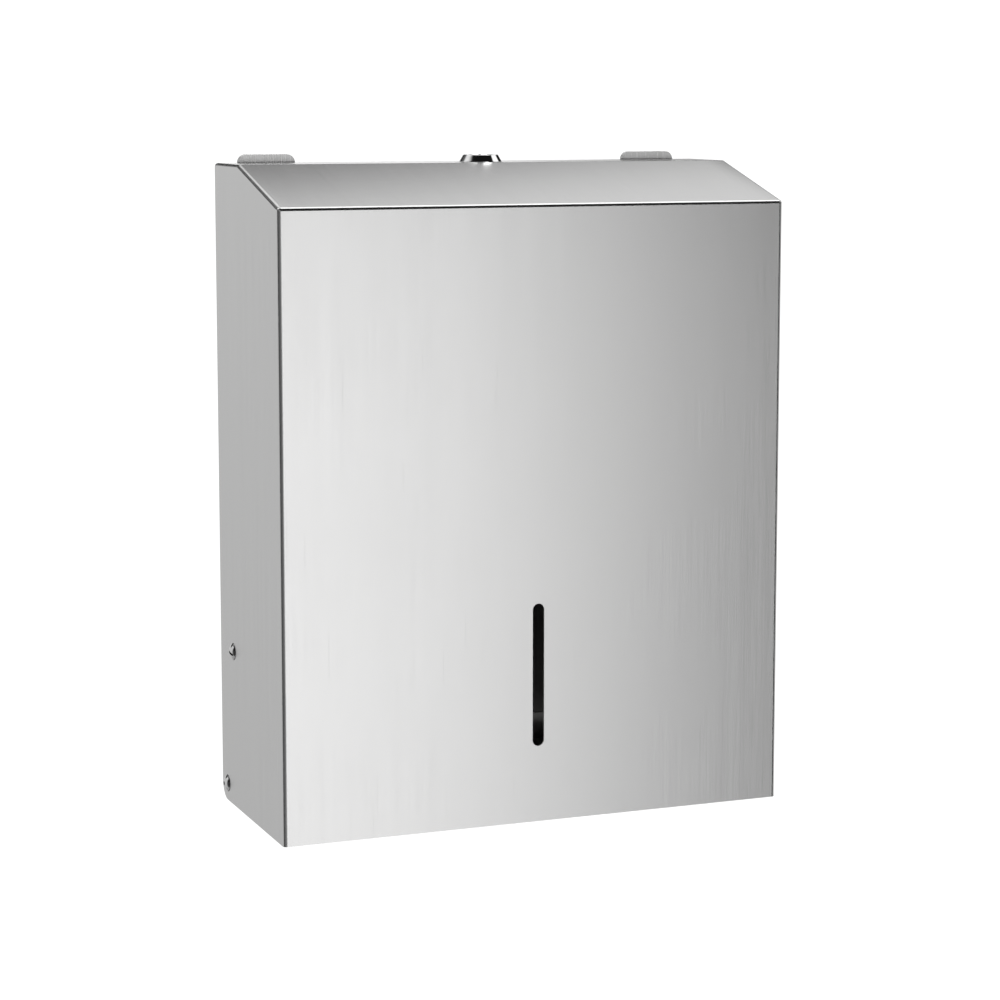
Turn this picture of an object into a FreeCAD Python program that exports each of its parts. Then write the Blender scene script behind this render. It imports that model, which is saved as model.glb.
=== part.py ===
import FreeCAD, Part
import Sketcher
import math
import os

# Wall-mounted folded-towel dispenser in brushed stainless sheet.
# Millimetres. +Z is up, +X is to the right seen from the front, and the wall is
# the plane y = 0, so everything lies at y <= 0 and the front panel is at y = -109.
# The origin is the centre of the four wall screws, which is also half way up
# the cover and on its centre line.

Vec = FreeCAD.Vector
doc = FreeCAD.newDocument("TowelDispenser")


# ---------------------------------------------------------------- dimensions
class Dim:
    # A dimension: the formula that gives it from the sheet, and its value.
    def __init__(self, text, value):
        self.text = text
        self.value = float(value)

    def __add__(self, other):
        o = dim(other)
        return Dim("(%s + %s)" % (self.text, o.text), self.value + o.value)

    def __radd__(self, other):
        return dim(other) + self

    def __sub__(self, other):
        o = dim(other)
        return Dim("(%s - %s)" % (self.text, o.text), self.value - o.value)

    def __rsub__(self, other):
        return dim(other) - self

    def __mul__(self, other):
        o = dim(other)
        return Dim("(%s * %s)" % (self.text, o.text), self.value * o.value)

    def __rmul__(self, other):
        return dim(other) * self

    def __truediv__(self, other):
        o = dim(other)
        return Dim("(%s / %s)" % (self.text, o.text), self.value / o.value)

    def __rtruediv__(self, other):
        return dim(other) / self

    def __neg__(self):
        return Dim("(-1 * %s)" % self.text, -self.value)


def dim(v):
    if isinstance(v, Dim):
        return v
    text = repr(round(float(v), 6))
    return Dim("(%s)" % text if v < 0 else text, v)


def sin(a):
    a = dim(a)
    return Dim("sin(%s * 1 deg)" % a.text, math.sin(math.radians(a.value)))


def cos(a):
    a = dim(a)
    return Dim("cos(%s * 1 deg)" % a.text, math.cos(math.radians(a.value)))


def sqrt(a):
    a = dim(a)
    return Dim("sqrt(%s)" % a.text, math.sqrt(a.value))


SHEET = [
    # cover
    ("cover_width", 270.0, "outside width of the cover"),
    ("cover_height", 332.0, "bottom edge to top flange"),
    ("front_height", 313.0, "bottom edge to the fold over the front panel"),
    ("cover_depth", 109.0, "wall to front panel"),
    ("slope_depth", 67.3, "front panel back to the rear fold of the sloping top"),
    ("cover_gauge", 1.0, "cover sheet thickness"),
    ("bend_outer", 2.0, "outside radius of the cover's folds"),
    ("bend_inner", 1.0, "inside radius of the cover's folds"),
    ("side_gap", 0.5, "side edges to the wall"),
    ("flange_gap", 1.6, "rear edge of the top flange to the wall"),
    ("bottom_lip", 10.0, "inward lip under the front panel"),
    ("sight_width", 6.2, "width of the filling-level slot"),
    ("sight_length", 73.3, "length of the filling-level slot over its round ends"),
    ("sight_low", 39.2, "bottom edge of the cover to the slot's lower end"),
    # hinge and stop
    ("hinge_back", 9.5, "hinge axis to the wall"),
    ("hinge_up", 9.0, "hinge axis above the cover's bottom edge"),
    ("pin_dia", 5.0, "hinge pin shank"),
    ("pin_head_dia", 9.0, "hinge pin head"),
    ("pin_head_rise", 2.1, "hinge pin head"),
    ("dimple_dia", 2.2, "centre dimple in the hinge pin head"),
    ("stop_radius", 73.9, "stop screw from the hinge axis"),
    ("stop_angle", 10.6, "stop screw forward of straight up, cover shut"),
    ("open_angle", 60.0, "cover swing"),
    ("stop_dia", 4.0, "stop screw shank"),
    ("stop_head_dia", 9.0, "stop screw head"),
    ("stop_head_rise", 2.1, "stop screw head"),
    ("sleeve_dia", 6.0, "sleeve that runs in the curved slot"),
    ("track_width", 6.6, "curved slot in the cheek"),
    # fixed inner body
    ("base_gauge", 1.0, "inner body sheet thickness"),
    ("cheek_gap", 1.4, "cheek to the inside of the cover's side"),
    ("plate_low", 9.0, "bottom edge of the cover up to the back plate"),
    ("plate_high", 3.0, "top flange down to the back plate's top edge"),
    ("tab_offset", 107.6, "centre line to the middle of a top tab"),
    ("tab_base", 31.0, "width of a tab where it passes the flange"),
    ("tab_crown", 30.6, "width of a tab at its top"),
    ("tab_rise", 4.3, "tab above the top flange"),
    ("tab_corner", 4.6, "tab corner radius"),
    ("screw_span_wide", 190.0, "wall screws, side to side"),
    ("screw_span_high", 200.0, "wall screws, up and down"),
    ("screw_hole", 6.0, "wall screw hole"),
    ("rib_offset", 58.0, "centre line to a pressed rib"),
    ("rib_length", 250.0, "pressed rib"),
    ("rib_width", 9.0, "pressed rib"),
    ("rib_height", 1.2, "pressed rib"),
    ("cheek_deep", 96.0, "cheek front edge to the wall, low down"),
    ("cheek_shallow", 36.0, "cheek front edge to the wall, high up"),
    ("cheek_top", 124.0, "top of the cheek above the origin"),
    ("cheek_flange", 14.0, "cheek's welding flange on the back plate"),
    ("floor_up", 16.0, "cover's bottom edge to the tray floor's top face"),
    ("tray_front", 104.0, "front lip of the tray to the wall"),
    ("lip_height", 20.0, "front lip of the tray over its underside"),
    ("mouth_length", 176.0, "towel mouth, over its round ends"),
    ("mouth_width", 40.0, "towel mouth"),
    ("mouth_back", 54.0, "middle of the towel mouth to the wall"),
    ("mouth_collar", 6.0, "drawn collar round the towel mouth"),
    # bushes
    ("bush_bore", 5.1, "hinge bush bore"),
    ("bush_dia", 7.0, "hinge bush body"),
    ("bush_flange_dia", 11.0, "hinge bush flange"),
    ("bush_flange", 1.2, "hinge bush flange thickness"),
    # lock
    ("lock_back", 28.5, "lock axis to the wall"),
    ("head_base", 22.2, "lock head at the flange"),
    ("head_crown", 17.9, "lock head at its top"),
    ("head_rise", 3.8, "lock head above the flange"),
    ("barrel_dia", 16.0, "lock barrel thread"),
    ("barrel_flats", 14.0, "lock barrel across its flats"),
    ("barrel_length", 19.0, "lock barrel under the head"),
    ("plug_dia", 12.0, "lock plug"),
    ("plug_bore", 12.1, "bore for the plug"),
    ("drive_square", 7.0, "square end of the plug"),
    ("cam_gauge", 3.0, "cam thickness"),
    ("cam_reach", 21.0, "cam, outside radius of the hook"),
    ("cam_throat", 15.5, "cam, inside radius of the hook"),
    ("strike_gauge", 1.5, "strike bracket thickness"),
]

sheet = doc.addObject("Spreadsheet::Sheet", "Dims")
D = {}
for row, (alias, number, note) in enumerate(SHEET, start=1):
    sheet.set("A%d" % row, alias)
    sheet.set("B%d" % row, repr(number))
    sheet.set("C%d" % row, note)
    sheet.setAlias("B%d" % row, alias)
    D[alias] = Dim("Dims.%s" % alias, number)
doc.recompute()

# Levels and planes used by more than one piece.
z_bottom = -(D["cover_height"] / 2)
z_top = D["cover_height"] / 2
z_fold = z_bottom + D["front_height"]
x_side = D["cover_width"] / 2
x_inside = x_side - D["cover_gauge"]
x_cheek = x_inside - D["cheek_gap"]
x_cheek_in = x_cheek - D["base_gauge"]
y_front = -D["cover_depth"]
y_slope = y_front + D["slope_depth"]
y_hinge = -D["hinge_back"]
z_hinge = z_bottom + D["hinge_up"]
y_stop = y_hinge - D["stop_radius"] * sin(D["stop_angle"])
z_stop = z_hinge + D["stop_radius"] * cos(D["stop_angle"])
y_lock = -D["lock_back"]
z_floor = z_bottom + D["floor_up"]
z_flange_under = z_top - D["cover_gauge"]


# ------------------------------------------------------------------- helpers
def new_body(name):
    body = doc.addObject("PartDesign::Body", name)
    body.Label = name
    return body


def plane_of(body, role):
    for feature in body.Origin.OriginFeatures:
        if feature.Role == role:
            return feature
    raise RuntimeError("no plane " + role)


def new_sketch(body, name, role, offset=0):
    # A sketch on one of the body's own planes, moved along that plane's normal:
    # YZ_Plane faces +X, XZ_Plane faces -Y, XY_Plane faces +Z.
    sk = body.newObject("Sketcher::SketchObject", name)
    sk.AttachmentSupport = [(plane_of(body, role), "")]
    sk.MapMode = "FlatFace"
    off = dim(offset)
    sk.AttachmentOffset = FreeCAD.Placement(Vec(0, 0, off.value), FreeCAD.Rotation())
    if abs(off.value) > 1e-9:
        sk.setExpression("AttachmentOffset.Base.z", off.text)
    return sk


def tie(sk, kind, refs, value):
    v = dim(value)
    i = sk.addConstraint(Sketcher.Constraint(kind, *refs, v.value))
    sk.setExpression("Constraints[%d]" % i, v.text)
    return i


def pin_point(sk, geo, pos, x, y):
    x, y = dim(x), dim(y)
    if abs(x.value) < 1e-9:
        sk.addConstraint(Sketcher.Constraint("PointOnObject", geo, pos, -2))
    else:
        tie(sk, "DistanceX", (-1, 1, geo, pos), x)
    if abs(y.value) < 1e-9:
        sk.addConstraint(Sketcher.Constraint("PointOnObject", geo, pos, -1))
    else:
        tie(sk, "DistanceY", (-1, 1, geo, pos), y)


def outline(sk, points, arcs=None):
    # A closed outline through the points, in order. arcs gives, for the stretch
    # that starts at a point's number, its centre, radius and whether it turns
    # anticlockwise.
    arcs = arcs or {}
    pts = [(dim(x), dim(y)) for x, y in points]
    n = len(pts)
    geos = []
    for i in range(n):
        (ax, ay), (bx, by) = pts[i], pts[(i + 1) % n]
        a, b = Vec(ax.value, ay.value, 0), Vec(bx.value, by.value, 0)
        if i in arcs:
            (cx, cy), r, ccw = arcs[i]
            cx, cy, r = dim(cx), dim(cy), dim(r)
            c = Vec(cx.value, cy.value, 0)
            s, e = (a, b) if ccw else (b, a)
            t0 = math.atan2(s.y - c.y, s.x - c.x)
            t1 = math.atan2(e.y - c.y, e.x - c.x)
            while t1 <= t0:
                t1 += 2 * math.pi
            g = sk.addGeometry(Part.ArcOfCircle(Part.Circle(c, Vec(0, 0, 1), r.value), t0, t1), False)
            geos.append((g, 1 if ccw else 2, 2 if ccw else 1))
        else:
            g = sk.addGeometry(Part.LineSegment(a, b), False)
            geos.append((g, 1, 2))
    for i in range(n):
        g, _, end = geos[i]
        h, start, _ = geos[(i + 1) % n]
        sk.addConstraint(Sketcher.Constraint("Coincident", g, end, h, start))
    for i in range(n):
        g, start, _ = geos[i]
        pin_point(sk, g, start, pts[i][0], pts[i][1])
    for i in arcs:
        tie(sk, "Radius", (geos[i][0],), arcs[i][1])
    return geos


def rectangle(sk, x0, y0, x1, y1):
    return outline(sk, [(x0, y0), (x1, y0), (x1, y1), (x0, y1)])


def circle(sk, x, y, r):
    x, y, r = dim(x), dim(y), dim(r)
    g = sk.addGeometry(Part.Circle(Vec(x.value, y.value, 0), Vec(0, 0, 1), r.value), False)
    pin_point(sk, g, 3, x, y)
    tie(sk, "Radius", (g,), r)
    return g


def stadium(sk, c0, c1, r):
    # A slot with round ends: c0 and c1 are the centres of the ends.
    (x0, y0), (x1, y1) = [(dim(x), dim(y)) for x, y in (c0, c1)]
    r = dim(r)
    a, b = Vec(x0.value, y0.value, 0), Vec(x1.value, y1.value, 0)
    along = math.atan2(b.y - a.y, b.x - a.x)
    nrm = Vec(-math.sin(along), math.cos(along), 0) * r.value
    g0 = sk.addGeometry(Part.ArcOfCircle(Part.Circle(a, Vec(0, 0, 1), r.value), along + math.pi / 2, along + 1.5 * math.pi), False)
    g1 = sk.addGeometry(Part.LineSegment(a - nrm, b - nrm), False)
    g2 = sk.addGeometry(Part.ArcOfCircle(Part.Circle(b, Vec(0, 0, 1), r.value), along - math.pi / 2, along + math.pi / 2), False)
    g3 = sk.addGeometry(Part.LineSegment(b + nrm, a + nrm), False)
    for g, p, h, q in ((g0, 2, g1, 1), (g1, 2, g2, 1), (g2, 2, g3, 1), (g3, 2, g0, 1)):
        sk.addConstraint(Sketcher.Constraint("Tangent", g, p, h, q))
    sk.addConstraint(Sketcher.Constraint("Equal", g0, g2))
    pin_point(sk, g0, 3, x0, y0)
    pin_point(sk, g2, 3, x1, y1)
    tie(sk, "Radius", (g0,), r)


def curved_slot(sk, pivot, radius, half, start, end):
    # A slot bent about the pivot. start and end are the angles of its end
    # centres, measured from straight up towards -y, in degrees.
    px, py = dim(pivot[0]), dim(pivot[1])
    radius, half, start, end = dim(radius), dim(half), dim(start), dim(end)
    c = Vec(px.value, py.value, 0)
    k = Vec(0, 0, 1)

    def at(angle, r):
        t = math.radians(angle.value)
        return Vec(px.value - r * math.sin(t), py.value + r * math.cos(t), 0)

    # polar angles, anticlockwise from +x of the sketch
    t0 = math.pi / 2 + math.radians(start.value)
    t1 = math.pi / 2 + math.radians(end.value)
    ro, ri = radius.value + half.value, radius.value - half.value
    outer = sk.addGeometry(Part.ArcOfCircle(Part.Circle(c, k, ro), t0, t1), False)
    inner = sk.addGeometry(Part.ArcOfCircle(Part.Circle(c, k, ri), t0, t1), False)
    cap1 = sk.addGeometry(Part.ArcOfCircle(Part.Circle(at(end, radius.value), k, half.value), t1, t1 + math.pi), False)
    cap0 = sk.addGeometry(Part.ArcOfCircle(Part.Circle(at(start, radius.value), k, half.value), t0 + math.pi, t0 + 2 * math.pi), False)
    for g, p, h, q in ((outer, 2, cap1, 1), (cap1, 2, inner, 2), (inner, 1, cap0, 1), (cap0, 2, outer, 1)):
        sk.addConstraint(Sketcher.Constraint("Tangent", g, p, h, q))
    sk.addConstraint(Sketcher.Constraint("Coincident", outer, 3, inner, 3))
    pin_point(sk, outer, 3, px, py)
    tie(sk, "Radius", (outer,), radius + half)
    tie(sk, "Radius", (inner,), radius - half)
    tie(sk, "DistanceX", (-1, 1, cap1, 3), px - radius * sin(end))
    tie(sk, "DistanceX", (-1, 1, cap0, 3), px - radius * sin(start))


def finish_feature(body, feature, cuts):
    before = feature.BaseFeature.Shape.Volume if getattr(feature, "BaseFeature", None) else 0.0
    doc.recompute()
    after = feature.Shape.Volume
    if cuts and not after < before - 1e-6:
        raise RuntimeError("%s takes nothing from %s" % (feature.Name, body.Label))
    if not cuts and not after > before + 1e-6:
        raise RuntimeError("%s adds nothing to %s" % (feature.Name, body.Label))
    return feature


def pad(body, sk, length, both=False, flip=False):
    f = body.newObject("PartDesign::Pad", sk.Name + "_pad")
    f.Profile = sk
    v = dim(length)
    f.Length = v.value
    f.setExpression("Length", v.text)
    if both:
        if hasattr(f, "SideType"):
            f.SideType = "Symmetric"
        else:
            f.Midplane = True
    f.Reversed = flip
    sk.Visibility = False
    return finish_feature(body, f, False)


def pocket(body, sk, length=None, both=False, flip=False):
    f = body.newObject("PartDesign::Pocket", sk.Name + "_cut")
    f.Profile = sk
    if length is None:
        f.Type = "ThroughAll"
    else:
        v = dim(length)
        f.Length = v.value
        f.setExpression("Length", v.text)
    if both:
        if hasattr(f, "SideType"):
            f.SideType = "Symmetric"
        else:
            f.Midplane = True
    f.Reversed = flip
    sk.Visibility = False
    return finish_feature(body, f, True)


def turn(body, sk, axis="H_Axis", cut=False):
    f = body.newObject("PartDesign::Groove" if cut else "PartDesign::Revolution", sk.Name + ("_groove" if cut else "_turned"))
    f.Profile = sk
    f.ReferenceAxis = (sk, [axis])
    f.Angle = 360.0
    sk.Visibility = False
    return finish_feature(body, f, cut)


def round_edges(body, pick, radius, name, kind="PartDesign::Fillet"):
    base = body.Tip
    names = ["Edge%d" % (i + 1) for i, e in enumerate(base.Shape.Edges) if pick(e)]
    if not names:
        raise RuntimeError("no edges for %s in %s" % (name, body.Label))
    f = body.newObject(kind, name)
    f.Base = (base, names)
    v = dim(radius)
    if kind.endswith("Fillet"):
        f.Radius = v.value
        f.setExpression("Radius", v.text)
    else:
        f.Size = v.value
        f.setExpression("Size", v.text)
    doc.recompute()
    if "Invalid" in f.State or not f.Shape.isValid():
        raise RuntimeError("%s failed on %s" % (name, body.Label))
    return f


def near(a, b, tol=1e-3):
    return abs(a - b) < tol


def along_axis(edge, axis):
    if len(edge.Vertexes) != 2:
        return False
    a, b = edge.Vertexes[0].Point, edge.Vertexes[1].Point
    d = b - a
    rest = [abs(v) for i, v in enumerate((d.x, d.y, d.z)) if i != axis]
    return abs((d.x, d.y, d.z)[axis]) > 1e-6 and max(rest) < 1e-6


def passes(edge, x=None, y=None, z=None, tol=1e-3):
    for v in edge.Vertexes:
        for want, have in ((x, v.Point.x), (y, v.Point.y), (z, v.Point.z)):
            if want is not None and not near(dim(want).value, have, tol):
                return False
    return True


def place(obj, x=0, y=0, z=0, rotation=None):
    x, y, z = dim(x), dim(y), dim(z)
    obj.Placement = FreeCAD.Placement(Vec(x.value, y.value, z.value), rotation or FreeCAD.Rotation())
    for axis, v in (("x", x), ("y", y), ("z", z)):
        if abs(v.value) > 1e-9:
            obj.setExpression("Placement.Base." + axis, v.text)


ALONG_X = FreeCAD.Rotation(Vec(0, 1, 0), 90)      # a piece turned about +Z now lies along +X
ALONG_MX = FreeCAD.Rotation(Vec(0, 1, 0), -90)    # and along -X
SIDES = (("left", -1), ("right", 1))
NODES = {}


# ------------------------------------------------------------ fixed inner body
# Back plate: flat sheet against the wall, with two rounded tabs that stand up
# behind the cover's top flange, four wall-screw holes and two pressed ribs.
body = new_body("back_plate")
half = x_cheek
z_lo = z_bottom + D["plate_low"]
z_hi = z_top - D["plate_high"]
z_tab = z_top + D["tab_rise"]
flare = (D["tab_base"] - D["tab_crown"]) / 2 / D["tab_rise"]
foot = D["tab_base"] / 2 + flare * D["plate_high"]
crown = D["tab_crown"] / 2
tab = D["tab_offset"]
sk = new_sketch(body, "plate_outline", "XZ_Plane")
outline(sk, [
    (-half, z_lo), (half, z_lo), (half, z_hi),
    (tab + foot, z_hi), (tab + crown, z_tab), (tab - crown, z_tab), (tab - foot, z_hi),
    (-(tab - foot), z_hi), (-(tab - crown), z_tab), (-(tab + crown), z_tab), (-(tab + foot), z_hi),
    (-half, z_hi),
])
pad(body, sk, D["base_gauge"])
round_edges(body, lambda e: along_axis(e, 1) and passes(e, z=z_tab), D["tab_corner"], "tab_corners")
round_edges(body, lambda e: along_axis(e, 1) and passes(e, z=z_lo), 5.0, "plate_corners")
# softened front rim of the tabs
round_edges(body, lambda e: passes(e, y=-D["base_gauge"]) and all(v.Point.z > z_hi.value - 0.01 for v in e.Vertexes) and any(v.Point.z > z_hi.value + 0.5 for v in e.Vertexes), 0.4, "tab_rim")
sk = new_sketch(body, "rib_outside", "XZ_Plane", D["base_gauge"])
for s in (-1, 1):
    reach = D["rib_length"] / 2 - D["rib_width"] / 2
    stadium(sk, (D["rib_offset"] * s, -reach), (D["rib_offset"] * s, reach), D["rib_width"] / 2)
pad(body, sk, D["rib_height"])
sk = new_sketch(body, "rib_inside", "XZ_Plane")
for s in (-1, 1):
    stadium(sk, (D["rib_offset"] * s, -reach), (D["rib_offset"] * s, reach), D["rib_width"] / 2 - D["base_gauge"])
pocket(body, sk, D["rib_height"], flip=True)
round_edges(body, lambda e: passes(e, y=-(D["base_gauge"] + D["rib_height"])) and not near(e.Length, 0), 0.8, "rib_crest")
sk = new_sketch(body, "wall_screw_holes", "XZ_Plane")
for sx in (-1, 1):
    for sz in (-1, 1):
        circle(sk, D["screw_span_wide"] / 2 * sx, D["screw_span_high"] / 2 * sz, D["screw_hole"] / 2)
pocket(body, sk, D["base_gauge"] * 3, flip=True, both=True)
NODES["back_plate"] = body

# Side cheeks: they stand on the back plate inside the cover, carry the hinge
# bushes at their rear lower corner, and have the curved slot that stops the
# cover's swing. Each has a welding flange against the back plate.
for side, s in SIDES:
    body = new_body("cheek_" + side)
    x0 = x_cheek_in if s > 0 else -x_cheek
    sk = new_sketch(body, "cheek_%s_outline" % side, "YZ_Plane", x0)
    wall = -D["base_gauge"]
    low = z_bottom + 2.0
    outline(sk, [
        (wall, low), (-D["cheek_deep"], low), (-D["cheek_deep"], z_stop - 8.0),
        (-D["cheek_shallow"], 26.0), (-D["cheek_shallow"], D["cheek_top"]), (wall, D["cheek_top"]),
    ])
    pad(body, sk, D["base_gauge"])
    sk = new_sketch(body, "cheek_%s_flange" % side, "XZ_Plane", D["base_gauge"])
    rectangle(sk, (x_cheek - D["cheek_flange"]) * s, z_floor + 4.0, x_cheek * s, D["cheek_top"] - 4.0)
    pad(body, sk, D["base_gauge"])
    round_edges(body, lambda e: along_axis(e, 0) and passes(e, y=wall, z=low), 7.5, "cheek_%s_heel" % side)
    round_edges(body, lambda e: along_axis(e, 0) and passes(e, y=-D["cheek_deep"], z=low), 6.0, "cheek_%s_toe" % side)
    round_edges(body, lambda e: along_axis(e, 0) and (passes(e, y=-D["cheek_deep"], z=z_stop - 8.0) or passes(e, y=-D["cheek_shallow"], z=26.0)), 14.0, "cheek_%s_step" % side)
    round_edges(body, lambda e: along_axis(e, 0) and passes(e, y=-D["cheek_shallow"], z=D["cheek_top"]), 10.0, "cheek_%s_top" % side)
    round_edges(body, lambda e: along_axis(e, 1) and passes(e, x=(x_cheek - D["cheek_flange"]) * s), 3.0, "cheek_%s_flange_corners" % side)
    round_edges(body, lambda e: along_axis(e, 2) and passes(e, x=x_cheek_in * s, y=-(D["base_gauge"] * 2)), 0.6, "cheek_%s_bend" % side)
    sk = new_sketch(body, "cheek_%s_hinge_hole" % side, "YZ_Plane", x0 - 1.0)
    circle(sk, y_hinge, z_hinge, D["bush_dia"] / 2)
    pocket(body, sk, D["base_gauge"] + 2.0, flip=True)
    # the slot runs from just behind the shut position to just past full swing
    sk = new_sketch(body, "cheek_%s_track" % side, "YZ_Plane", x0 - 1.0)
    curved_slot(sk, (y_hinge, z_hinge), D["stop_radius"], D["track_width"] / 2, D["stop_angle"] - 0.6, D["stop_angle"] + D["open_angle"] + 0.6)
    pocket(body, sk, D["base_gauge"] + 2.0, flip=True)
    NODES["cheek_" + side] = body

# Towel tray: the floor the towels stand on, with the mouth they are pulled
# through, a drawn collar round it, a hemmed front lip, a welding flange up the
# back plate and one down each cheek.
body = new_body("towel_tray")
g = D["base_gauge"]
z_under = z_floor - g
sk = new_sketch(body, "tray_floor", "YZ_Plane")
rectangle(sk, -D["tray_front"], z_under, -2.2, z_floor)
pad(body, sk, x_cheek_in * 2, both=True)
sk = new_sketch(body, "tray_rear_flange", "YZ_Plane")
outline(sk, [(-g, z_under), (-g, z_floor + 14.0), (-(g * 2), z_floor + 14.0), (-(g * 2), z_floor), (-6.0, z_floor), (-6.0, z_under)])
pad(body, sk, 226.0, both=True)
sk = new_sketch(body, "tray_front_lip", "YZ_Plane")
z_lip = z_under + D["lip_height"]
hem = g * 1.9
outline(sk, [
    (-D["tray_front"], z_under), (-D["tray_front"], z_lip), (-D["tray_front"] + hem, z_lip),
    (-D["tray_front"] + hem, z_lip - 8.0), (-D["tray_front"] + g, z_lip - 8.0),
    (-D["tray_front"] + g, z_floor), (-D["tray_front"] + 6.0, z_floor), (-D["tray_front"] + 6.0, z_under),
])
pad(body, sk, 256.0, both=True)
for side, s in SIDES:
    sk = new_sketch(body, "tray_%s_flange" % side, "YZ_Plane", (x_cheek_in - g) if s > 0 else -x_cheek_in)
    rectangle(sk, -92.0, z_under - 11.0, -26.0, z_floor)
    pad(body, sk, g)
front_bend = lambda e: along_axis(e, 0) and passes(e, y=-D["tray_front"], z=z_under)
round_edges(body, front_bend, 1.3, "tray_front_bend")
round_edges(body, lambda e: along_axis(e, 0) and passes(e, y=-g, z=z_under), 1.3, "tray_rear_bend")
round_edges(body, lambda e: along_axis(e, 0) and passes(e, z=z_lip), 0.7, "tray_hem")
round_edges(body, lambda e: along_axis(e, 0) and passes(e, z=z_under - 11.0), 0.3, "tray_flange_edge")
mouth_x = D["mouth_length"] / 2 - D["mouth_width"] / 2
sk = new_sketch(body, "mouth_opening", "XY_Plane", z_floor + 1.0)
stadium(sk, (-mouth_x, -D["mouth_back"]), (mouth_x, -D["mouth_back"]), D["mouth_width"] / 2)
pocket(body, sk, g + 2.0)
sk = new_sketch(body, "mouth_collar", "XY_Plane", z_floor)
stadium(sk, (-mouth_x, -D["mouth_back"]), (mouth_x, -D["mouth_back"]), D["mouth_width"] / 2)
stadium(sk, (-mouth_x, -D["mouth_back"]), (mouth_x, -D["mouth_back"]), D["mouth_width"] / 2 + g)
pad(body, sk, D["mouth_collar"], flip=True)


def on_mouth(e, grow):
    # edges of the mouth, grow outside its size
    r = D["mouth_width"].value / 2 + grow
    for v in e.Vertexes:
        dx = max(0.0, abs(v.Point.x) - mouth_x.value)
        dy = v.Point.y + D["mouth_back"].value
        if not near(math.hypot(dx, dy), r, 1e-2):
            return False
    return True


round_edges(body, lambda e: passes(e, z=z_floor) and on_mouth(e, 0.0), 0.9, "mouth_rim")
round_edges(body, lambda e: passes(e, z=z_under) and on_mouth(e, 1.0), 0.5, "mouth_root")
NODES["towel_tray"] = body

# Lock strike: bracket welded high on the back plate. Its turned-down lip stands
# in front of the cam's hook when the cover is locked.
body = new_body("lock_strike")
k = D["strike_gauge"]
z_web = z_top - 12.5
lip_rear = y_lock + 9.9
sk = new_sketch(body, "strike_foot", "XZ_Plane", D["base_gauge"])
rectangle(sk, 1.0, z_web - 17.0, 21.0, z_web + k)
pad(body, sk, k)
sk = new_sketch(body, "strike_web", "XY_Plane", z_web)
outline(sk, [(1.0, -D["base_gauge"]), (21.0, -D["base_gauge"]), (21.0, -9.0), (11.0, lip_rear), (11.0, lip_rear - k), (5.6, lip_rear - k), (5.6, lip_rear), (1.0, -9.0)])
pad(body, sk, k)
sk = new_sketch(body, "strike_lip", "XZ_Plane", -lip_rear)
rectangle(sk, 5.6, z_web - 13.0, 11.0, z_web + k)
pad(body, sk, k)
round_edges(body, lambda e: along_axis(e, 0) and passes(e, y=-D["base_gauge"], z=z_web + k), 1.6, "strike_bend")
round_edges(body, lambda e: along_axis(e, 0) and passes(e, y=lip_rear - k, z=z_web + k), 1.4, "strike_lip_bend")
round_edges(body, lambda e: along_axis(e, 1) and (passes(e, x=1.0, z=z_web - 17.0) or passes(e, x=21.0, z=z_web - 17.0)), 3.0, "strike_foot_corners")
NODES["lock_strike"] = body

# Hinge bushes: flanged nylon bushes pressed through the cheeks, flange towards
# the cover's side.
inner_end = D["base_gauge"] + 1.0
for side, s in SIDES:
    body = new_body("hinge_bush_" + side)
    sk = new_sketch(body, "hinge_bush_%s_section" % side, "XZ_Plane")
    outline(sk, [
        (-inner_end, D["bush_bore"] / 2), (D["bush_flange"], D["bush_bore"] / 2), (D["bush_flange"], D["bush_flange_dia"] / 2 - 0.3),
        (D["bush_flange"] - 0.3, D["bush_flange_dia"] / 2), (0.0, D["bush_flange_dia"] / 2),
        (0.0, D["bush_dia"] / 2), (-(inner_end - 0.3), D["bush_dia"] / 2), (-inner_end, D["bush_dia"] / 2 - 0.3),
    ])
    turn(body, sk)
    place(body, x_cheek * s, y_hinge, z_hinge, FreeCAD.Rotation(Vec(0, 0, 1), 0 if s > 0 else 180))
    NODES["hinge_bush_" + side] = body

# --------------------------------------------------------------------- cover
# Front cover: one folded and welded shell with the front panel, sloping top,
# narrow top flange and two sides. Its lower rear corners are rounded about the
# hinge axis, so that it turns clear of the wall.
body = new_body("front_cover")
c = D["cover_gauge"]
rise = (z_top - z_fold) / D["slope_depth"]
drop = c * sqrt(1 + rise * rise)
heel = D["hinge_up"]
y_edge = -D["side_gap"]
sk = new_sketch(body, "cover_outside", "YZ_Plane")
outline(sk, [
    (y_front, z_bottom), (y_hinge, z_bottom), (y_edge, z_hinge), (y_edge, z_top),
    (y_slope, z_top), (y_front, z_fold),
], arcs={1: ((y_hinge, z_hinge), heel, True)})
pad(body, sk, D["cover_width"], both=True)
sk = new_sketch(body, "cover_inside", "YZ_Plane")
y_in = y_front + c
y_lip = y_in + D["bottom_lip"]
outline(sk, [
    (y_lip, z_bottom - 4.0), (4.0, z_bottom - 4.0), (4.0, z_top - c),
    (y_front + (z_top - c - z_fold + drop) / rise, z_top - c),
    (y_in, z_fold + rise * c - drop), (y_in, z_bottom + c), (y_lip, z_bottom + c),
])
pocket(body, sk, D["cover_width"] - c * 2, both=True)


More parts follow.
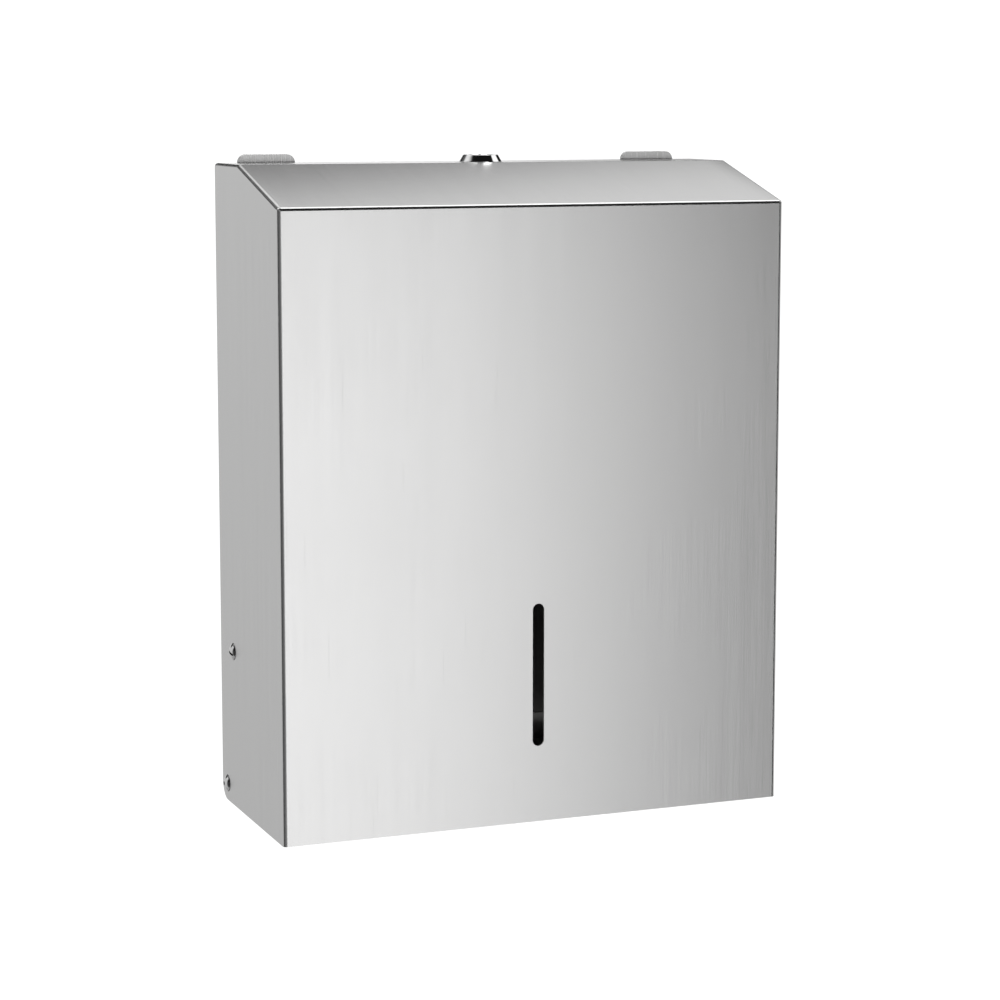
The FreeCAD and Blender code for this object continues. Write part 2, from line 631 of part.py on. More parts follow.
def outer_fold(e):
    # every outside fold of the shell: front to sides, front to slope, slope to
    # flange, and the sides' top edges
    if not e.Vertexes or len(e.Vertexes) != 2:
        return False
    a, b = e.Vertexes[0].Point, e.Vertexes[1].Point
    w = x_side.value

    def rim(p):
        if near(p.y, y_front.value) and p.z > z_bottom.value - 1e-3 and p.z < z_fold.value + 1e-3:
            return True
        if near(p.z, z_fold.value + rise.value * (p.y - y_front.value), 1e-2) and p.y < y_slope.value + 1e-3:
            return True
        return near(p.z, z_top.value)
    if near(abs(a.x), w) and near(abs(b.x), w) and near(a.x, b.x):
        if not (rim(a) and rim(b)):
            return False
        return not (near(a.z, z_bottom.value) and near(b.z, z_bottom.value))
    if along_axis(e, 0) and abs((b - a).x) > w:
        return (near(a.y, y_front.value) and near(a.z, z_fold.value)) or (near(a.y, y_slope.value) and near(a.z, z_top.value))
    return False


round_edges(body, outer_fold, D["bend_outer"], "outer_folds")


def inner_fold(e):
    if len(e.Vertexes) != 2:
        return False
    a, b = e.Vertexes[0].Point, e.Vertexes[1].Point
    w = x_inside.value
    if along_axis(e, 2) and near(abs(a.x), w) and near(a.y, y_in.value):
        return True
    if along_axis(e, 0) and near(a.y, y_in.value) and near(a.z, (z_fold + rise * c - drop).value):
        return True
    if near(abs(a.x), w) and near(a.x, b.x) and abs(a.y - b.y) > 5 and abs(a.z - b.z) > 1 and min(a.z, b.z) > 100:
        return True
    return near(abs(a.x), w) and near(a.x, b.x) and near(a.z, (z_top - c).value) and near(b.z, (z_top - c).value)


round_edges(body, inner_fold, D["bend_inner"], "inner_folds")
# the flange stops short of the back plate, so that the tabs stand behind it
sk = new_sketch(body, "flange_relief", "XY_Plane", z_top + 1.0)
rectangle(sk, -x_inside, -D["flange_gap"], x_inside, 2.0)
pocket(body, sk, c + 2.0)
# filling-level slot in the front panel
slot_r = D["sight_width"] / 2
sk = new_sketch(body, "level_slot", "XZ_Plane", D["cover_depth"] - c - 2.0)
stadium(sk, (0, z_bottom + D["sight_low"] + slot_r), (0, z_bottom + D["sight_low"] + D["sight_length"] - slot_r), slot_r)
pocket(body, sk, c + 6.0, flip=True)
# hinge-pin and stop-screw holes through both sides
sk = new_sketch(body, "side_holes", "YZ_Plane")
circle(sk, y_hinge, z_hinge, D["pin_dia"] / 2)
circle(sk, y_stop, z_stop, D["stop_dia"] / 2)
pocket(body, sk, D["cover_width"] + 10.0, both=True)
# hole with two flats for the lock barrel
sk = new_sketch(body, "lock_hole", "XY_Plane", z_top + 1.0)
hr = D["barrel_dia"] / 2 + 0.15
hf = D["barrel_flats"] / 2 + 0.15
hx = sqrt(hr * hr - hf * hf)
outline(sk, [(hx, y_lock + hf), (-hx, y_lock + hf), (-hx, y_lock - hf), (hx, y_lock - hf)],
        arcs={1: ((0, y_lock), hr, True), 3: ((0, y_lock), hr, True)})
pocket(body, sk, c + 2.0)
NODES["front_cover"] = body

# Hinge pins: domed polished heads outside the cover's sides, plain shanks
# through the sides and the bushes.
pin_reach = D["cover_gauge"] + D["cheek_gap"] + D["base_gauge"] + 2.7
for side, s in SIDES:
    body = new_body("hinge_pin_" + side)
    sk = new_sketch(body, "hinge_pin_%s_section" % side, "XZ_Plane")
    hr2 = D["pin_head_dia"] / 2
    hh = D["pin_head_rise"] - 0.1
    cap = (hr2 * hr2 + hh * hh) / (2 * hh)
    outline(sk, [
        (-pin_reach, 0), (D["pin_head_rise"], 0), (0.1, hr2), (0, hr2), (0, D["pin_dia"] / 2),
        (-(pin_reach - 0.4), D["pin_dia"] / 2), (-pin_reach, D["pin_dia"] / 2 - 0.4),
    ], arcs={1: ((D["pin_head_rise"] - cap, 0), cap, True)})
    turn(body, sk)
    # shallow centre dimple in the dome
    sk = new_sketch(body, "hinge_pin_%s_dimple" % side, "YZ_Plane", D["pin_head_rise"] - 0.9)
    circle(sk, 0, 0, D["dimple_dia"] / 2)
    pocket(body, sk, 2.0, flip=True)
    place(body, x_side * s, y_hinge, z_hinge, FreeCAD.Rotation(Vec(0, 0, 1), 0 if s > 0 else 180))
    NODES["hinge_pin_" + side] = body

# Stop screws: slotted domed heads outside, with a plain shank that carries a
# sleeve, a washer and a self-locking nut inside.
sleeve_len = D["cheek_gap"] + D["base_gauge"] + 0.4
washer_t = dim(0.8)
nut_t = dim(4.0)
stop_reach = c + sleeve_len + washer_t + nut_t + 0.6
for side, s in SIDES:
    body = new_body("stop_screw_" + side)
    sk = new_sketch(body, "stop_screw_%s_section" % side, "XZ_Plane")
    hr3 = D["stop_head_dia"] / 2
    hh3 = D["stop_head_rise"] - 0.1
    cap3 = (hr3 * hr3 + hh3 * hh3) / (2 * hh3)
    outline(sk, [
        (-stop_reach, 0), (D["stop_head_rise"], 0), (0.1, hr3), (0, hr3), (0, D["stop_dia"] / 2),
        (-(stop_reach - 0.5), D["stop_dia"] / 2), (-stop_reach, D["stop_dia"] / 2 - 0.5),
    ], arcs={1: ((D["stop_head_rise"] - cap3, 0), cap3, True)})
    turn(body, sk)
    sk = new_sketch(body, "stop_screw_%s_slot" % side, "XY_Plane", -5.0)
    rectangle(sk, D["stop_head_rise"] - 1.1, -0.6, D["stop_head_rise"] + 1.0, 0.6)
    pocket(body, sk, 10.0, flip=True)
    # the driver slot leans down towards the front
    place(body, x_side * s, y_stop, z_stop, FreeCAD.Rotation(Vec(0, 0, 1), 0 if s > 0 else 180).multiply(FreeCAD.Rotation(Vec(1, 0, 0), -68.0 if s > 0 else 68.0)))
    NODES["stop_screw_" + side] = body
    # sleeve on the screw, running in the cheek's curved slot
    body = new_body("stop_sleeve_" + side)
    sk = new_sketch(body, "stop_sleeve_%s_section" % side, "XZ_Plane")
    outline(sk, [
        (-sleeve_len, D["stop_dia"] / 2), (0, D["stop_dia"] / 2), (0, D["sleeve_dia"] / 2 - 0.2), (-0.2, D["sleeve_dia"] / 2),
        (-(sleeve_len - 0.2), D["sleeve_dia"] / 2), (-sleeve_len, D["sleeve_dia"] / 2 - 0.2),
    ])
    turn(body, sk)
    place(body, x_inside * s, y_stop, z_stop, FreeCAD.Rotation(Vec(0, 0, 1), 0 if s > 0 else 180))
    NODES["stop_sleeve_" + side] = body


def ring(name, outer, inner, thick):
    # a flat ring about the X axis, from x = 0 inwards to x = -thick
    b = new_body(name)
    skr = new_sketch(b, name + "_section", "XZ_Plane")
    outer, inner, thick = dim(outer), dim(inner), dim(thick)
    outline(skr, [(-thick, inner), (0, inner), (0, outer - 0.15), (-0.15, outer), (-thick + 0.15, outer), (-thick, outer - 0.15)])
    turn(b, skr)
    return b


def hexagon(sk, x, y, flats):
    x, y, flats = dim(x), dim(y), dim(flats)
    rr = flats / 2 / cos(30.0)
    outline(sk, [(x + rr * cos(30.0 + 60.0 * i), y + rr * sin(30.0 + 60.0 * i)) for i in range(6)])


def gather(name, members):
    group = doc.addObject("Part::Compound", name)
    group.Label = name
    group.Links = members
    doc.recompute()
    return group


# Push-on retaining rings on the inner ends of the hinge pins.
clips = []
for side, s in SIDES:
    b = ring("clip_" + side, D["pin_dia"] / 2 + 2.5, D["pin_dia"] / 2, 0.8)
    sk = new_sketch(b, "clip_%s_notches" % side, "YZ_Plane", -1.5)
    for a in (0.0, 120.0, 240.0):
        ca, sa = math.cos(math.radians(a)), math.sin(math.radians(a))
        pts = []
        for u, v in ((2.0, -0.5), (3.7, -0.5), (3.7, 0.5), (2.0, 0.5)):
            pts.append((u * ca - v * sa, u * sa + v * ca))
        outline(sk, pts)
    pocket(b, sk, 3.0, flip=True)
    place(b, (x_cheek_in - 1.3) * s, y_hinge, z_hinge, FreeCAD.Rotation(Vec(0, 0, 1), 0 if s > 0 else 180))
    clips.append(b)
NODES["hinge_pin_clips"] = gather("hinge_pin_clips", clips)

# Washers and self-locking nuts on the stop screws.
washers, nuts = [], []
for side, s in SIDES:
    b = ring("washer_" + side, 5.0, D["stop_dia"] / 2, washer_t)
    place(b, (x_inside - sleeve_len) * s, y_stop, z_stop, FreeCAD.Rotation(Vec(0, 0, 1), 0 if s > 0 else 180))
    washers.append(b)
    b = new_body("nut_" + side)
    sk = new_sketch(b, "nut_%s_hexagon" % side, "YZ_Plane", -3.0)
    hexagon(sk, 0, 0, 7.0)
    pad(b, sk, 3.0)
    sk = new_sketch(b, "nut_%s_collar" % side, "YZ_Plane", -nut_t)
    circle(sk, 0, 0, 3.1)
    pad(b, sk, 1.5)
    sk = new_sketch(b, "nut_%s_chamfer" % side, "XZ_Plane")
    outline(sk, [(0.5, 3.35), (0.5, 5.0), (-0.45, 5.0), (0.0, 3.35)])
    turn(b, sk, cut=True)
    sk = new_sketch(b, "nut_%s_crown" % side, "XZ_Plane")
    outline(sk, [(-3.06, 3.3), (-2.4, 4.5), (-3.06, 4.5)])
    turn(b, sk, cut=True)
    sk = new_sketch(b, "nut_%s_bore" % side, "YZ_Plane", -6.0)
    circle(sk, 0, 0, D["stop_dia"] / 2)
    pocket(b, sk, 12.0, flip=True)
    place(b, (x_inside - sleeve_len - washer_t) * s, y_stop, z_stop, FreeCAD.Rotation(Vec(0, 0, 1), 0 if s > 0 else 180))
    nuts.append(b)
NODES["stop_washers"] = gather("stop_washers", washers)
NODES["stop_nuts"] = gather("stop_nuts", nuts)

# ---------------------------------------------------------------------- lock
# Lock barrel: low truncated-cone head on the flange, threaded barrel with two
# flats under it, bored for the plug. A quadrant is cut from its lower end for
# the stop washer's lug.
body = new_body("lock_housing")
sk = new_sketch(body, "lock_housing_section", "XZ_Plane")
rb = D["barrel_dia"] / 2
bore = D["plug_bore"] / 2
root = rb - 0.45
pts = [
    (bore, -D["barrel_length"]), (root, -D["barrel_length"]),
]
pitch = 1.0
turns = 14
z_thread = D["barrel_length"] - 0.8
for i in range(turns):
    pts.append((root, -(z_thread - pitch * i)))
    pts.append((rb, -(z_thread - pitch * i - 0.45)))
    pts.append((rb, -(z_thread - pitch * i - 0.6)))
pts += [
    (root, -(z_thread - pitch * turns)), (root, -3.6), (rb, -3.2), (rb, 0), (D["head_base"] / 2, 0), (D["head_base"] / 2, 0.28),
    (D["head_crown"] / 2 + 0.25, D["head_rise"] - 0.25), (D["head_crown"] / 2 - 0.15, D["head_rise"]),
    (bore + 0.35, D["head_rise"]), (bore, D["head_rise"] - 0.35),
]
outline(sk, pts)
turn(body, sk, "V_Axis")
sk = new_sketch(body, "lock_housing_flats", "XY_Plane")
for s in (-1, 1):
    rectangle(sk, -12.0, D["barrel_flats"] / 2 * s, 12.0, 12.0 * s)
pocket(body, sk, D["barrel_length"] + 4.0)
sk = new_sketch(body, "lock_housing_quadrant", "XY_Plane", -D["barrel_length"] - 1.0)
outline(sk, [(0, 0), (12.0 * math.cos(math.radians(-58)), 12.0 * math.sin(math.radians(-58))), (14.0, 0), (12.0 * math.cos(math.radians(58)), 12.0 * math.sin(math.radians(58)))])
pocket(body, sk, 2.7, flip=True)
place(body, 0, y_lock, z_top)
NODES["lock_housing"] = body

# Washer and hexagon nut that clamp the barrel to the flange from below.
body = new_body("lock_washer")
sk = new_sketch(body, "lock_washer_ring", "XY_Plane")
circle(sk, 0, 0, 11.4)
circle(sk, 0, 0, D["barrel_dia"] / 2 + 0.1)
pad(body, sk, 0.8, flip=True)
sk = new_sketch(body, "lock_washer_teeth", "XY_Plane", 1.0)
for i in range(12):
    a0 = math.radians(30.0 * i)
    pts = []
    for u, v in ((10.3, -0.9), (12.4, -0.9), (12.4, 0.9), (10.3, 0.9)):
        pts.append((u * math.cos(a0) - v * math.sin(a0), u * math.sin(a0) + v * math.cos(a0)))
    outline(sk, pts)
pocket(body, sk, 3.0)
place(body, 0, y_lock, z_flange_under)
NODES["lock_washer"] = body

body = new_body("lock_nut")
sk = new_sketch(body, "lock_nut_hexagon", "XY_Plane")
hexagon(sk, 0, 0, 20.0)
pad(body, sk, 3.2, flip=True)
sk = new_sketch(body, "lock_nut_bevel", "XZ_Plane")
outline(sk, [(9.7, -3.2), (11.8, -2.1), (11.8, -3.6), (9.7, -3.6)])
turn(body, sk, "V_Axis", cut=True)
sk = new_sketch(body, "lock_nut_bore", "XY_Plane", 1.0)
circle(sk, 0, 0, D["barrel_dia"] / 2)
pocket(body, sk, 6.0)
place(body, 0, y_lock, z_flange_under - 0.8)
NODES["lock_nut"] = body

# Plug: turns in the barrel. Keyway from its face, five wafer slots across it,
# a square end for the stop washer and cam, and a tapped hole for the cam screw.
z_face = D["head_rise"] - 0.35
z_step = -(D["barrel_length"] + 0.2)
z_square = z_step - 3.6
body = new_body("lock_plug")
sk = new_sketch(body, "lock_plug_section", "XZ_Plane")
rp = D["plug_dia"] / 2
outline(sk, [(0, z_step), (rp, z_step), (rp, z_face - 0.3), (rp - 0.3, z_face), (0, z_face)])
turn(body, sk, "V_Axis")
sk = new_sketch(body, "lock_plug_drive", "XY_Plane", z_step)
q = D["drive_square"] / 2
rectangle(sk, -q, -q, q, q)
pad(body, sk, 3.6, flip=True)
sk = new_sketch(body, "lock_plug_keyway", "XY_Plane", z_face + 1.0)
outline(sk, [(-4.2, -0.9), (4.2, -0.9), (4.2, 0.9), (1.6, 0.9), (1.2, 1.5), (-0.6, 1.5), (-1.0, 0.9), (-4.2, 0.9)])
pocket(body, sk, 18.0)
sk = new_sketch(body, "lock_plug_wafer_slots", "XZ_Plane", -3.6)
for i in range(5):
    zc = -(2.0 + 2.6 * i)
    rectangle(sk, -7.0, zc - 0.55, 7.0, zc + 0.55)
pocket(body, sk, 7.2, flip=True)
sk = new_sketch(body, "lock_plug_screw_hole", "XY_Plane", z_square - 1.0)
circle(sk, 0, 0, 2.0)
pocket(body, sk, 8.0, flip=True)
place(body, 0, y_lock, z_top)
NODES["lock_plug"] = body

# Wafers: thin sprung plates across the plug, with a window for the key, drawn
# in flush as they stand with the key in.
wafers = []
for i in range(5):
    zc = -(2.0 + 2.6 * i)
    blank = doc.addObject("Part::Box", "wafer_blank_%d" % (i + 1))
    blank.Length, blank.Width, blank.Height = 11.6, 7.0, 0.9
    blank.Placement = FreeCAD.Placement(Vec(-5.8, -3.5, 0), FreeCAD.Rotation())
    limit = doc.addObject("Part::Cylinder", "wafer_limit_%d" % (i + 1))
    limit.setExpression("Radius", (D["plug_dia"] / 2 - 0.1).text)
    limit.Height = 0.9
    trimmed = doc.addObject("Part::Common", "wafer_trim_%d" % (i + 1))
    trimmed.Base, trimmed.Tool = blank, limit
    window = doc.addObject("Part::Box", "wafer_window_%d" % (i + 1))
    window.Length, window.Width, window.Height = 8.4 - 0.5 * (i % 3), 3.2, 3.0
    window.Placement = FreeCAD.Placement(Vec(-4.2, -1.6, -1.0), FreeCAD.Rotation())
    wafer = doc.addObject("Part::Cut", "wafer_%d" % (i + 1))
    wafer.Base, wafer.Tool = trimmed, window
    place(wafer, 0, y_lock, z_top + (zc - 0.45))
    wafers.append(wafer)
doc.recompute()
NODES["lock_wafers"] = gather("lock_wafers", wafers)

# Stop washer: on the plug's square, with a lug that runs in the barrel's
# quadrant and stops the plug at a quarter turn.
body = new_body("lock_stop_washer")
sk = new_sketch(body, "stop_washer_disc", "XY_Plane", z_step)
circle(sk, 0, 0, 7.6)
pad(body, sk, 1.0, flip=True)
sk = new_sketch(body, "stop_washer_lug", "XY_Plane", z_step - 1.0)
mid = math.radians(45.0)
lug = []
for u, v in ((6.35, -1.0), (7.55, -1.0), (7.55, 1.0), (6.35, 1.0)):
    lug.append((u * math.cos(mid) - v * math.sin(mid), u * math.sin(mid) + v * math.cos(mid)))
outline(sk, lug)
pad(body, sk, 2.6)
sk = new_sketch(body, "stop_washer_square", "XY_Plane", z_step + 1.0)
rectangle(sk, -q, -q, q, q)
pocket(body, sk, 4.0)
place(body, 0, y_lock, z_top)
NODES["lock_stop_washer"] = body

# Cam: flat arm with a hook that swings behind the strike's lip. Drawn in its
# open position, arm to the left.
body = new_body("lock_cam")
z_cam = z_step - 1.0
sk = new_sketch(body, "cam_hub", "XY_Plane", z_cam)
circle(sk, 0, 0, 6.4)
pad(body, sk, D["cam_gauge"], flip=True)
sk = new_sketch(body, "cam_arm", "XY_Plane", z_cam)
rectangle(sk, -18.0, -4.5, 0.0, 4.5)
pad(body, sk, D["cam_gauge"], flip=True)
sk = new_sketch(body, "cam_hook", "XY_Plane", z_cam)
ro, ri = D["cam_reach"], D["cam_throat"]
a0, a1 = 135.0, 192.0
outline(sk, [(ro * cos(a0), ro * sin(a0)), (ro * cos(a1), ro * sin(a1)), (ri * cos(a1), ri * sin(a1)), (ri * cos(a0), ri * sin(a0))],
        arcs={0: ((0, 0), ro, True), 2: ((0, 0), ri, False)})
pad(body, sk, D["cam_gauge"], flip=True)


def cam_tip(e):
    if not along_axis(e, 2):
        return False
    p = e.Vertexes[0].Point
    r = math.hypot(p.x, p.y)
    t = math.degrees(math.atan2(p.y, p.x)) % 360
    return (near(r, ro.value, 0.05) or near(r, ri.value, 0.05)) and (near(t, a0, 0.5) or near(t, a1, 0.5)) and not (near(r, ri.value, 0.05) and near(t, a1, 0.5))


round_edges(body, cam_tip, 1.2, "cam_tip")
sk = new_sketch(body, "cam_square", "XY_Plane", z_cam + 1.0)
rectangle(sk, -q, -q, q, q)
pocket(body, sk, D["cam_gauge"] + 2.0)
place(body, 0, y_lock, z_top)
NODES["lock_cam"] = body

# Cam screw: holds the cam on the plug's square end.
body = new_body("cam_screw")
z_head = z_cam - D["cam_gauge"]
sk = new_sketch(body, "cam_screw_section", "XZ_Plane")
outline(sk, [(0, z_head - 2.4), (2.6, z_head - 2.4), (4.3, z_head - 1.5), (4.3, z_head), (2.0, z_head), (2.0, z_head + 6.4), (1.6, z_head + 6.9), (0, z_head + 6.9)])
turn(body, sk, "V_Axis")
sk = new_sketch(body, "cam_screw_recess", "XY_Plane", z_head - 3.4)
outline(sk, [(-0.5, -2.3), (0.5, -2.3), (0.5, -0.5), (2.3, -0.5), (2.3, 0.5), (0.5, 0.5), (0.5, 2.3), (-0.5, 2.3), (-0.5, 0.5), (-2.3, 0.5), (-2.3, -0.5), (-0.5, -0.5)])
pocket(body, sk, 2.3, flip=True)
place(body, 0, y_lock, z_top)
NODES["cam_screw"] = body

# ------------------------------------------------------------------- writing
doc.recompute()
for obj in doc.Objects:
    if "Invalid" in obj.State or "Error" in obj.State:
        raise RuntimeError("%s: %s" % (obj.Label, obj.State))
for name, obj in NODES.items():
    if obj.Shape.isNull() or not obj.Shape.isValid() or not obj.Shape.Solids:
        raise RuntimeError("bad shape: " + name)
os.makedirs("parts", exist_ok=True)
for old in os.listdir("parts"):
    if old.endswith(".step") and old[:-5] not in NODES:
        os.remove(os.path.join("parts", old))
for name, obj in NODES.items():
    obj.Shape.exportStep(os.path.join("parts", name + ".step"))
    bb = obj.Shape.BoundBox
    print("%-20s solids %d  volume %9.1f  x %7.2f %7.2f  y %7.2f %7.2f  z %7.2f %7.2f" % (
        name, len(obj.Shape.Solids), obj.Shape.Volume, bb.XMin, bb.XMax, bb.YMin, bb.YMax, bb.ZMin, bb.ZMax))
print(len(NODES), "nodes written")
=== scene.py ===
import math

import bpy
from mathutils import Matrix, Vector

# Looks of the wall-mounted towel dispenser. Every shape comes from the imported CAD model;
# this script gives each node its material and sets up a plain studio: pale floor, soft light, camera.

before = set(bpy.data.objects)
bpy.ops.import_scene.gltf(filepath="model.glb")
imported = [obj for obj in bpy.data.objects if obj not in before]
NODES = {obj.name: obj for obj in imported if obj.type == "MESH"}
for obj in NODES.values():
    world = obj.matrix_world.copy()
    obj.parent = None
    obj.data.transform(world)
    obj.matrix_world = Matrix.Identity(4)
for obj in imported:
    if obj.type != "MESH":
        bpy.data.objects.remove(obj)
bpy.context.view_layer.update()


# ---------------------------------------------------------------- node graph helper

class Graph:
    """A small writer of shader nodes: every call adds a node and returns its output socket."""

    def __init__(self, tree):
        self.tree = tree
        tree.nodes.clear()

    def node(self, kind, **settings):
        made = self.tree.nodes.new(kind)
        for key, value in settings.items():
            setattr(made, key, value)
        return made

    def put(self, socket, value):
        if isinstance(value, bpy.types.NodeSocket):
            self.tree.links.new(value, socket)
        elif value is not None:
            socket.default_value = value

    def math(self, operation, a, b=None, c=None, clamp=False):
        made = self.node("ShaderNodeMath", operation=operation, use_clamp=clamp)
        for socket, value in zip(made.inputs, (a, b, c)):
            self.put(socket, value)
        return made.outputs[0]

    def add(self, *terms):
        total = terms[0]
        for term in terms[1:]:
            total = self.math("ADD", total, term)
        return total

    def mul(self, *terms):
        total = terms[0]
        for term in terms[1:]:
            total = self.math("MULTIPLY", total, term)
        return total

    def sub(self, a, b):
        return self.math("SUBTRACT", a, b)

    def step(self, value, low, high, first=0.0, last=1.0):
        """A smooth step from first (value at low) to last (value at high)."""
        made = self.node("ShaderNodeMapRange", interpolation_type="SMOOTHSTEP")
        for name, v in (("Value", value), ("From Min", low), ("From Max", high), ("To Min", first), ("To Max", last)):
            self.put(made.inputs[name], v)
        return made.outputs["Result"]

    def line(self, value, low, high, first=0.0, last=1.0):
        """A straight, clamped change from first to last."""
        made = self.node("ShaderNodeMapRange", interpolation_type="LINEAR")
        for name, v in (("Value", value), ("From Min", low), ("From Max", high), ("To Min", first), ("To Max", last)):
            self.put(made.inputs[name], v)
        return made.outputs["Result"]

    def split(self, vector):
        made = self.node("ShaderNodeSeparateXYZ")
        self.put(made.inputs[0], vector)
        return made.outputs[0], made.outputs[1], made.outputs[2]

    def join(self, x, y, z):
        made = self.node("ShaderNodeCombineXYZ")
        for socket, value in zip(made.inputs, (x, y, z)):
            self.put(socket, value)
        return made.outputs[0]

    def vector(self, operation, a, b=None):
        made = self.node("ShaderNodeVectorMath", operation=operation)
        self.put(made.inputs[0], a)
        if b is not None:
            self.put(made.inputs[1], b)
        return made.outputs["Value"] if operation in ("LENGTH", "DISTANCE", "DOT_PRODUCT") else made.outputs[0]

    def noise(self, vector, scale=1.0, detail=2.0, roughness=0.5, distortion=0.0):
        """Fractal noise, about 0.5 on average."""
        made = self.node("ShaderNodeTexNoise", noise_dimensions="3D")
        self.put(made.inputs["Vector"], vector)
        for name, v in (("Scale", scale), ("Detail", detail), ("Roughness", roughness), ("Distortion", distortion)):
            self.put(made.inputs[name], v)
        return made.outputs["Fac"]

    def cells(self, vector, scale=1.0, feature="F1", output="Distance", randomness=1.0):
        made = self.node("ShaderNodeTexVoronoi", feature=feature)
        self.put(made.inputs["Vector"], vector)
        self.put(made.inputs["Scale"], scale)
        self.put(made.inputs["Randomness"], randomness)
        return made.outputs[output]

    def mix(self, factor, a, b):
        made = self.node("ShaderNodeMix", data_type="RGBA")
        self.put(made.inputs["Factor"], factor)
        for socket, value in ((made.inputs[6], a), (made.inputs[7], b)):
            if isinstance(value, (tuple, list)) and len(value) == 3:
                value = (*value, 1.0)
            self.put(socket, value)
        return made.outputs[2]

    def blend(self, factor, a, b):
        made = self.node("ShaderNodeMix", data_type="FLOAT")
        self.put(made.inputs["Factor"], factor)
        self.put(made.inputs[2], a)
        self.put(made.inputs[3], b)
        return made.outputs[0]

    def bump(self, height, strength, distance, normal=None):
        made = self.node("ShaderNodeBump")
        self.put(made.inputs["Strength"], strength)
        self.put(made.inputs["Distance"], distance)
        self.put(made.inputs["Height"], height)
        if normal is not None:
            self.put(made.inputs["Normal"], normal)
        return made.outputs[0]


def start(name):
    """A new material with its graph, its shader and the two vectors that the patterns use, both of the object itself."""
    material = bpy.data.materials.new(name)
    material.use_nodes = True
    g = Graph(material.node_tree)
    out = g.node("ShaderNodeOutputMaterial")
    shader = g.node("ShaderNodeBsdfPrincipled")
    g.tree.links.new(shader.outputs[0], out.inputs["Surface"])
    place = g.node("ShaderNodeTexCoord")
    return material, g, shader, place.outputs["Object"], place.outputs["Normal"]


def grey(g, level, warm=0.0):
    """A grey of that level; warm lifts red and lowers blue a little."""
    made = g.node("ShaderNodeCombineColor")
    g.put(made.inputs[0], g.mul(level, 1.0 + warm))
    g.put(made.inputs[1], level)
    g.put(made.inputs[2], g.mul(level, 1.0 - warm))
    return made.outputs[0]


# ---------------------------------------------------------------- materials

